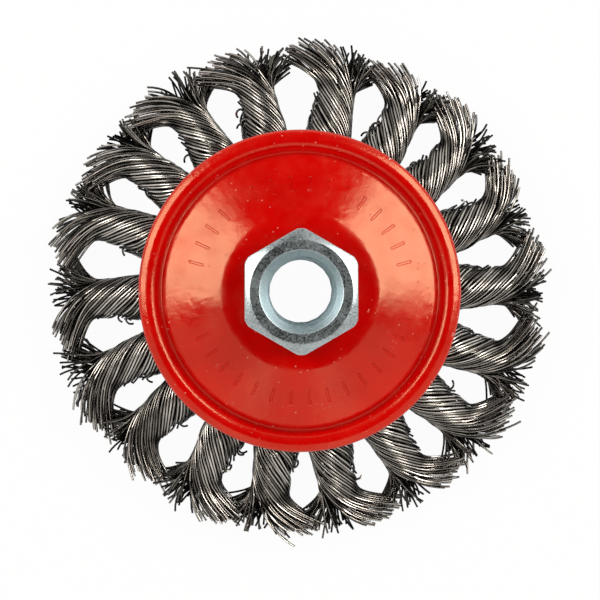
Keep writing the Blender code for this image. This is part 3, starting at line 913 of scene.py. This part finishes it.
def to_world(points, angle, lean):
    """Points given as distance along a knot, left and rise, brought to the knot's place on the brush."""
    along, left, rise = points[..., 0], points[..., 1], points[..., 2]
    flat = (np.array((HOLE_CIRCLE_RADIUS, 0.0, DATUM_HEIGHT))
            + along[..., None] * OUTWARD + left[..., None] * LEFTWARD + rise[..., None] * UPWARD)
    turn = angle + lean * smooth(along, LEAN_START, LEAN_FULL)
    x = flat[..., 0] * np.cos(turn) - flat[..., 1] * np.sin(turn)
    y = flat[..., 0] * np.sin(turn) + flat[..., 1] * np.cos(turn)
    return np.stack([x, y, flat[..., 2]], axis=-1)


def tubes(paths, outward, radius, sides, outward_pull=0.35):
    """Vertices and faces of a round tube along each of the paths, an array of wires by rings by 3.

    The third value tells how far each vertex looks the outward way, by wires, rings and sides.
    """
    wires, rings, _ = paths.shape
    tangents = np.gradient(paths, axis=1)
    tangents /= np.linalg.norm(tangents, axis=-1, keepdims=True)
    normal = outward[:, 0]
    circle = 2 * np.pi * np.arange(sides) / sides
    cosines = np.cos(circle)[None, :, None]
    sines = np.sin(circle)[None, :, None]
    vertices = np.empty((wires, rings, sides, 3))
    facing = np.empty((wires, rings, sides))
    for ring in range(rings):
        tangent = tangents[:, ring]
        normal = normal + outward[:, ring] * outward_pull
        normal = normal - (normal * tangent).sum(-1, keepdims=True) * tangent
        normal /= np.linalg.norm(normal, axis=-1, keepdims=True)
        binormal = np.cross(tangent, normal)
        offsets = cosines * normal[:, None] + sines * binormal[:, None]
        vertices[:, ring] = paths[:, ring, None] + offsets * radius
        facing[:, ring] = (offsets * outward[:, ring, None]).sum(-1)
    index = np.arange(wires * rings * sides).reshape(wires, rings, sides)
    following = np.roll(index, -1, axis=2)
    corners = (index[:, :-1], following[:, :-1], following[:, 1:], index[:, 1:])
    quads = np.stack(corners, axis=-1).reshape(-1, 4)
    start_caps = index[:, 0, ::-1].reshape(-1, sides)
    end_caps = index[:, -1].reshape(-1, sides)
    faces = quads.tolist() + start_caps.tolist() + end_caps.tolist()
    return vertices.reshape(-1, 3), faces, facing


def make_knot(number, material):
    """One knot's bent wires as tubes, with the values that their material reads.

    A wire's lit share is high where it looks away from the knot's axis, or up in the tuft; painted shade
    darkens it between the wires, deeper in and underneath.
    """
    tuft_start = 0.55
    tuft_full = 0.72
    underside = 0.25
    tip_light = 0.15
    back_shade = 0.80
    tiny = 1e-5
    random = np.random.default_rng(KNOT_SEED + number)
    paths = knot_paths(random)
    angle = FIRST_KNOT_ANGLE + 2 * math.pi * number / KNOT_COUNT
    lean = math.radians(KNOT_LEANS[number])
    world = to_world(paths, angle, lean)
    world[..., 2] = np.maximum(world[..., 2], WIRE_RADIUS)
    outward = world - to_world(paths * np.array((1.0, 0.0, 0.0)), angle, lean)
    reach = np.linalg.norm(outward, axis=-1, keepdims=True)
    wires, rings, _ = world.shape
    along = np.abs(np.arange(rings) - (rings - 1) / 2) / ((rings - 1) / 2)
    in_tuft = smooth(along, tuft_start, tuft_full)[None, :, None]
    open_way = outward / np.maximum(reach, tiny) * (1 - in_tuft) + np.array((0.0, 0.0, 1.0)) * in_tuft
    open_way /= np.maximum(np.linalg.norm(open_way, axis=-1, keepdims=True), tiny)
    vertices, faces, facing = tubes(world, open_way, WIRE_RADIUS, WIRE_SIDES)
    name = f"knot_{number + 1:02d}"
    item = mesh_object(name + "_wires", vertices, faces, material, sharp_angle=60.0)

    depth_share = np.clip(reach / ROOT_RADIUS, 0, 1)
    upper_side = underside + (1 - underside) * smooth(open_way[..., 2:], -0.4, 0.8)
    # The lit share paints shade between the wires, in the inner layers and on the undersides, eased a little
    # at the tips; the back tuft gets painted shade too
    open_side = smooth(facing, 0.1, 1.0) * smooth(depth_share, 0.45, 0.97) * upper_side
    tip = np.clip((along - tuft_start) / (1 - tuft_start), 0, 1)[None, :, None]
    at_the_back = (np.arange(rings) < rings / 2)[None, :, None]
    looks = {
        "tone": random.random(wires)[:, None, None],
        "tip": tip,
        "lit_share": open_side + (1 - open_side) * tip * tip_light,
        "shade": np.where(at_the_back, back_shade, 0.0) * tip,
    }
    for label, values in looks.items():
        values = np.broadcast_to(values, facing.shape).astype(np.float32)
        item.data.attributes.new(label, "FLOAT", "POINT").data.foreach_set("value", values.reshape(-1))
    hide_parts(name)
    return item


# Stage

def make_floor():
    """Pale floor that shows almost white to the camera and in reflections, and keeps the shadow."""
    mesh = bpy.data.meshes.new("floor")
    reach = 3.0
    corners = [(-reach, -reach, 0), (reach, -reach, 0), (reach, reach, 0), (-reach, reach, 0)]
    mesh.from_pydata(corners, [], [(0, 1, 2, 3)])
    floor = bpy.data.objects.new("floor", mesh)
    bpy.context.scene.collection.objects.link(floor)
    material, tree, shader = new_material("pale_floor")
    shader.inputs["Base Color"].default_value = (0.86, 0.86, 0.86, 1.0)
    shader.inputs["Roughness"].default_value = 0.9
    glow = node(tree, "ShaderNodeEmission", {"Color": (1.0, 1.0, 1.0, 1.0), "Strength": 1.0})
    glow_share = 0.96
    share = multiply(tree, shown_rays(tree), glow_share)
    mixer = node(tree, "ShaderNodeMixShader", {0: share, 1: shader.outputs[0], 2: glow.outputs[0]})
    tree.links.new(mixer.outputs[0], tree.nodes["Material Output"].inputs["Surface"])
    mesh.materials.append(material)


def shown_rays(tree):
    """1 for camera, glossy and transmission rays, 0 for the rays that carry the light."""
    rays = node(tree, "ShaderNodeLightPath").outputs
    shown = maths(tree, "MAXIMUM", rays["Is Camera Ray"], rays["Is Glossy Ray"])
    return maths(tree, "MAXIMUM", shown, rays["Is Transmission Ray"])


def make_world():
    """Soft light from all round, which fades to dark overhead."""
    world = bpy.data.worlds.new("studio")
    bpy.context.scene.world = world
    world.use_nodes = True
    tree = world.node_tree
    background = tree.nodes["Background"]
    background.inputs["Color"].default_value = (1.0, 0.97, 0.94, 1.0)
    direction = node(tree, "ShaderNodeTexCoord").outputs["Generated"]
    height = node(tree, "ShaderNodeSeparateXYZ", {"Vector": direction}).outputs["Z"]
    strength = grey_ramp(tree, height, low=0.46, high=0.67, low_value=0.70, high_value=0.0)
    tree.links.new(strength, background.inputs["Strength"])


def make_softbox(name, azimuth, elevation, distance, width, height, strength):
    light = bpy.data.lights.new(name, "AREA")
    light.shape = "RECTANGLE"
    light.size = width
    light.size_y = height
    light.energy = strength
    light.color = (1.0, 0.95, 0.90)
    item = bpy.data.objects.new(name, light)
    bpy.context.scene.collection.objects.link(item)
    turn, lift = math.radians(azimuth), math.radians(elevation)
    towards = Vector((math.cos(turn) * math.cos(lift), math.sin(turn) * math.cos(lift), math.sin(lift)))
    item.location = towards * distance
    item.rotation_euler = item.location.to_track_quat("Z", "Y").to_euler()


def make_lights():
    """Two softboxes at the sides of the brush, and three weak ones in front."""
    make_softbox(
        "softbox_right", azimuth=25.0, elevation=47.0, distance=1.0, width=0.75, height=0.36, strength=6.6,
    )
    make_softbox(
        "softbox_left", azimuth=160.0, elevation=46.0, distance=1.0, width=0.65, height=0.36, strength=5.2,
    )
    for azimuth in (226.0, 268.0, 310.0):
        name = f"softbox_near_{azimuth:.0f}"
        make_softbox(name, azimuth, elevation=44.0, distance=1.1, width=0.80, height=0.45, strength=0.65)


def make_camera():
    """Camera almost straight above the nut, far enough off to show hardly any perspective."""
    camera = bpy.data.cameras.new("camera")
    camera.lens = 209.0
    camera.sensor_width = 36.0
    camera.clip_start = 0.01
    item = bpy.data.objects.new("camera", camera)
    bpy.context.scene.collection.objects.link(item)
    distance = 0.69
    target = Vector((0.00002, -0.00179, 0.020))
    tilt_x, tilt_y = math.radians(1.15), math.radians(0.7)
    item.location = target + Vector((-math.sin(tilt_x), math.sin(tilt_y), 1.0)).normalized() * distance
    forward = (target - item.location).normalized()
    right = forward.cross(Vector((0.0, 1.0, 0.0))).normalized()
    up = right.cross(forward)
    matrix = item.matrix_world.copy()
    for row in range(3):
        matrix[row][0] = right[row]
        matrix[row][1] = up[row]
        matrix[row][2] = -forward[row]
        matrix[row][3] = item.location[row]
    item.matrix_world = matrix
    bpy.context.scene.camera = item


def main():
    bpy.context.scene.view_settings.view_transform = "Standard"
    make_world()
    make_floor()
    make_lights()
    make_camera()

    paint = red_paint()
    zinc = zinc_steel()
    plate = pressed_steel()
    wire = steel_wire()
    pieces = [make_outer_cup(paint), make_inner_cup(zinc), make_nut(zinc)]
    pieces += [make_knot(number, wire) for number in range(KNOT_COUNT)]
    for piece in pieces:
        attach(piece, "root")
    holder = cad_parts["knot_holder_plate"]
    for slot in holder.material_slots:
        slot.material = plate


main()
